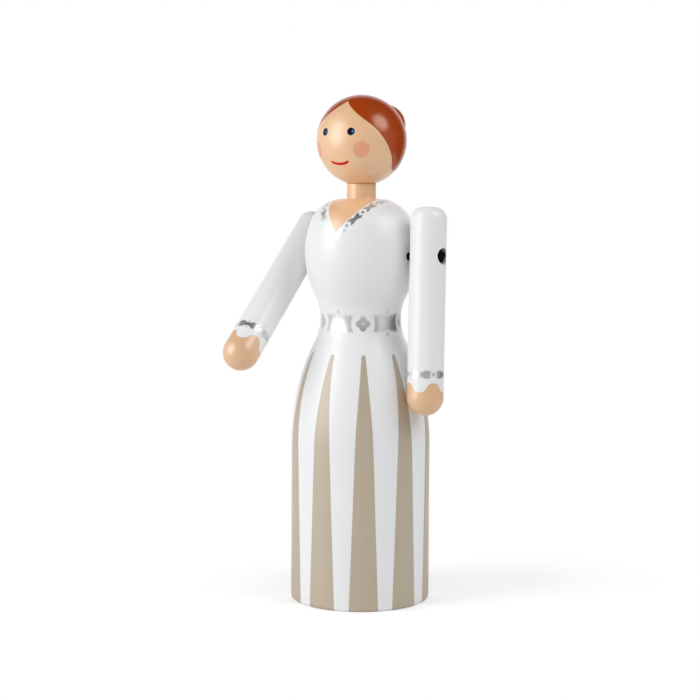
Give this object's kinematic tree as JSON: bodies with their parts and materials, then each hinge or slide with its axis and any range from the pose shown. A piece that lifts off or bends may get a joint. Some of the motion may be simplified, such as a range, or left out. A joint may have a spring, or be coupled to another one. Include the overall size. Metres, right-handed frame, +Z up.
{
  "type": "wooden doll",
  "caption": "Turned wooden bride doll that stands on a flat base, with a ball head that turns on its neck and stick arms that swing on an elastic cord.",
  "frame": {"origin": "centre of the flat base, on the surface that the doll stands on", "axes": "+Z up along the turned body's axis, -Y the way the doll faces, +X towards the doll's left arm"},
  "size_m": [0.065, 0.0631, 0.1694],
  "materials": {
    "dress_paint": "white satin lacquer on turned hardwood",
    "bare_wood": "bare hardwood",
    "skin_paint": "skin-coloured satin lacquer on turned hardwood",
    "hair_paint": "red-brown gloss lacquer on turned hardwood",
    "elastic": "black covered elastic",
    "washer_steel": "plain steel"
  },
  "bodies": {
    "body": {"body": "dress_paint", "neck_dowel": "bare_wood", "shoulder_cord": "elastic"},
    "head": {"head": "skin_paint", "hair_bun": "hair_paint"},
    "left_arm": {"left_arm": "dress_paint", "left_cord_washer": "washer_steel"},
    "right_arm": {"right_arm": "dress_paint", "right_cord_washer": "washer_steel"}
  },
  "joints": [
    {"name": "head_turn", "type": "hinge", "parent": "body", "child": "head", "pos_m": [0, 0, 0.1402], "axis": [0, 0, 1], "range_deg": [-40, 40]},
    {"name": "left_arm_swing", "type": "hinge", "parent": "body", "child": "left_arm", "pos_m": [0.01955, 0, 0.1163], "axis": [-0.9994, 0, -0.0338], "continuous": true},
    {"name": "right_arm_swing", "type": "hinge", "parent": "body", "child": "right_arm", "pos_m": [-0.01903, 0, 0.1163], "axis": [-0.9964, -0.0627, 0.0565], "continuous": true}
  ]
}
